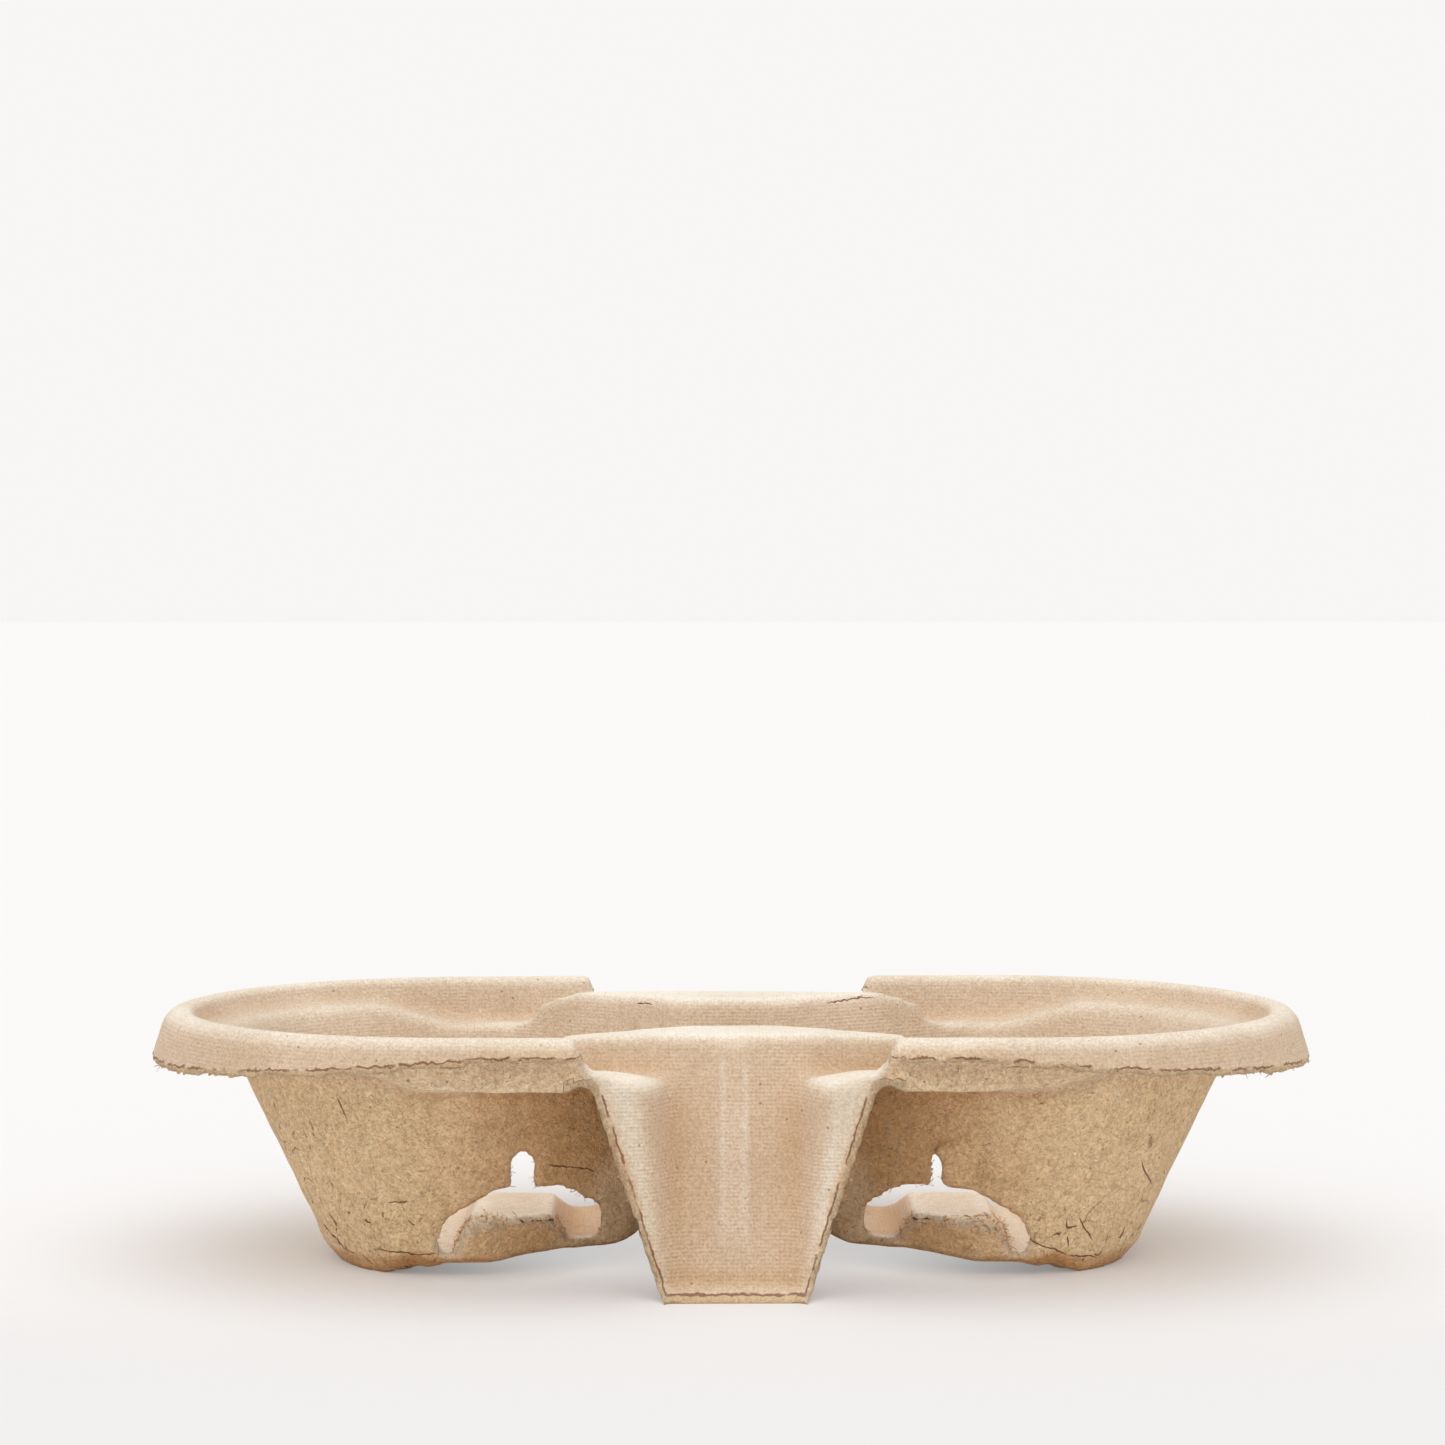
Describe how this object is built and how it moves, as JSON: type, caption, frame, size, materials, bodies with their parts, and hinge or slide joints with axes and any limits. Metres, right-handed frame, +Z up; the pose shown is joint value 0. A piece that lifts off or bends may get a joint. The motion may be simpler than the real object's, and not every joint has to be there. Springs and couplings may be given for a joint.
{
  "type": "cup carrier",
  "caption": "Moulded pulp tray with two tapered cup wells, a rolled rim, raised bridge ridges and flared legs in front and behind; it carries paper cups",
  "frame": {"origin": "on the table, midway between the two cup wells", "axes": "+X along the length through both wells, +Y to the rear, +Z up; the front, as pictured, faces -Y"},
  "size_m": [0.2192, 0.1122, 0.0468],
  "materials": {
    "moulded_pulp": "uncoated moulded fibre, matt"
  },
  "bodies": {
    "root": {"cup_carrier": "moulded_pulp"}
  },
  "joints": []
}
